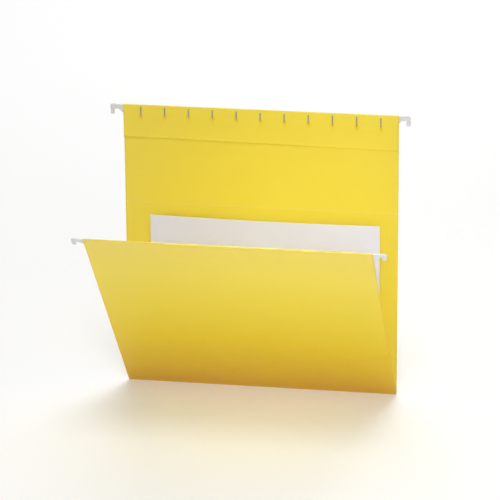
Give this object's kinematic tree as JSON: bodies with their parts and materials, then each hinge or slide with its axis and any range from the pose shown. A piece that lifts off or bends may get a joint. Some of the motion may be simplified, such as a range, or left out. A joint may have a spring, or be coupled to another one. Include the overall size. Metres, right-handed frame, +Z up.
{
  "type": "hanging file folder",
  "caption": "Card hanging file folder, open as a V, with rolled hems over flat steel rods, coated end hooks, tab slots and loose papers inside.",
  "frame": {"origin": "middle of the rear hanger rod, at the height where the undersides of its two hook arms rest on a rail", "axes": "+X along the hanger rods, to the right as seen from the front; +Y to the back, away from the front leaf; +Z up along the rear leaf, which hangs straight down"},
  "size_m": [0.3263, 0.2128, 0.3188],
  "materials": {
    "card": "matte",
    "glue": "matte",
    "steel": "satin",
    "hook_plastic": "satin",
    "paper": "matte"
  },
  "bodies": {
    "rear_leaf": {"rear_panel": "card", "rear_hem": "card", "rear_hem_glue": "glue", "rear_hanger_rod": "steel", "rear_left_hook_coat": "hook_plastic", "rear_right_hook_coat": "hook_plastic"},
    "front_leaf": {"front_panel": "card", "front_hem": "card", "front_hem_glue": "glue", "front_hanger_rod": "steel", "front_left_hook_coat": "hook_plastic", "front_right_hook_coat": "hook_plastic"},
    "papers": {"document_sheets": "paper"}
  },
  "joints": [
    {"name": "bottom_fold", "type": "hinge", "parent": "rear_leaf", "child": "front_leaf", "pos_m": [0, -0.00035, -0.3124], "axis": [1, 0, 0], "range_deg": [-40, 48.5]},
    {"name": "papers_lift", "type": "slide", "parent": "rear_leaf", "child": "papers", "axis": [0, -0.0175, 0.9998], "range_m": [0, 0.33]}
  ]
}
